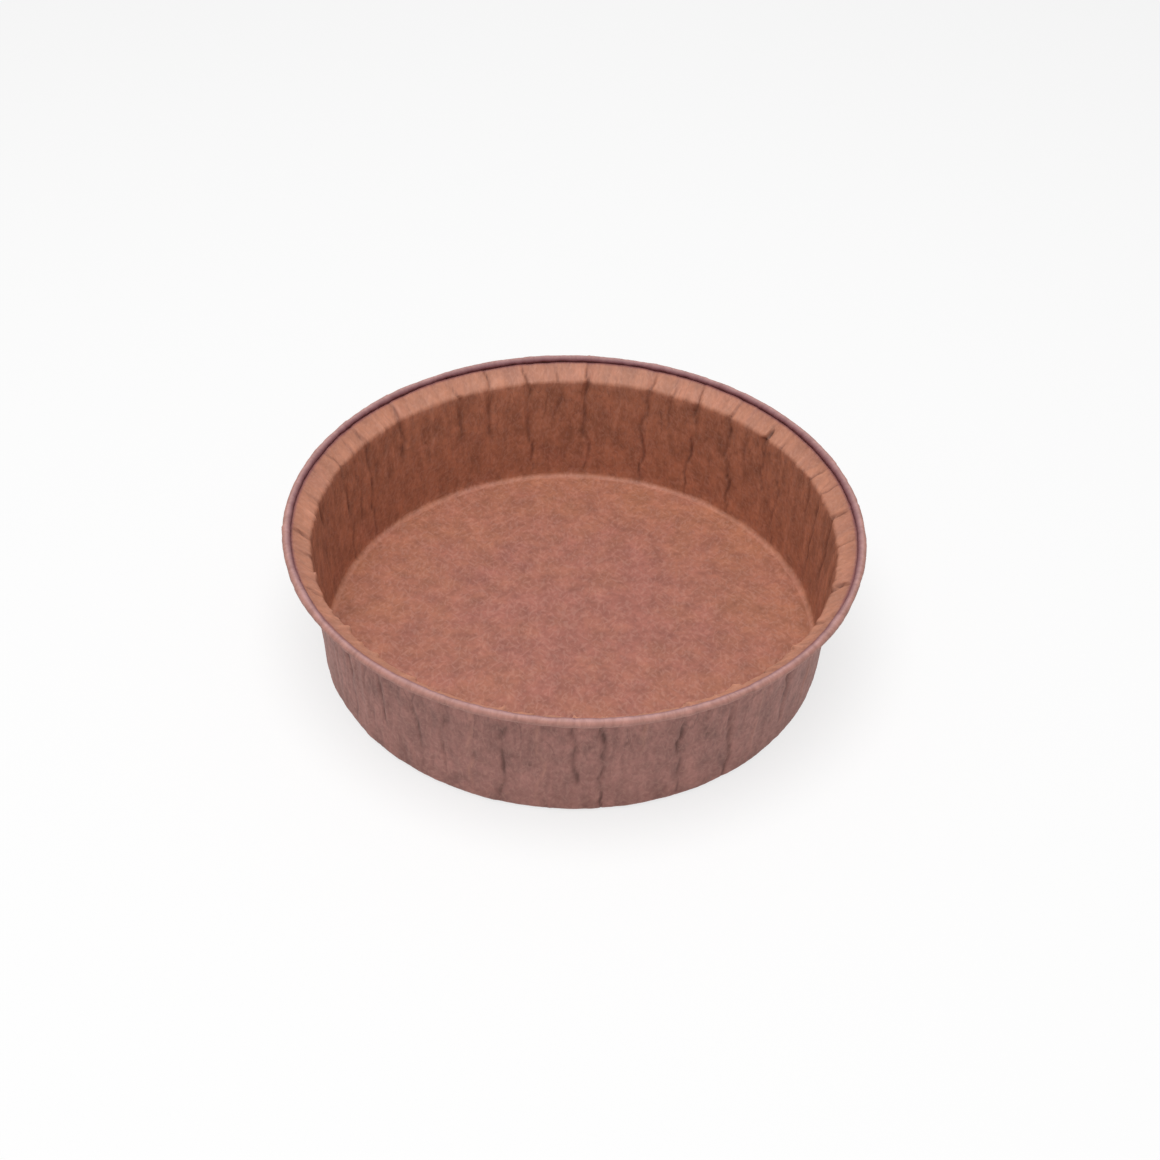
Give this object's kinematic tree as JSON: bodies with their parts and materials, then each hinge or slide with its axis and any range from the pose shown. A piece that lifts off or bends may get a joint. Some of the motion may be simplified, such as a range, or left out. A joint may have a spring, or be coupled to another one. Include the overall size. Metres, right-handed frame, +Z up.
{
  "type": "tartlet baking cup",
  "caption": "Round, shallow tartlet baking cup pressed from brown baking paper, with a flat floor, a creased upright wall, a sloping flange and a rolled rim.",
  "frame": {"origin": "centre of the flat underside, which the cup stands on", "axes": "+Z up, along the cup's axis; +X to the right and +Y away from the camera in the picture"},
  "size_m": [0.0999, 0.0998, 0.0262],
  "materials": {
    "baking_paper": "matte"
  },
  "bodies": {
    "root": {"tartlet_cup": "baking_paper"}
  },
  "joints": []
}
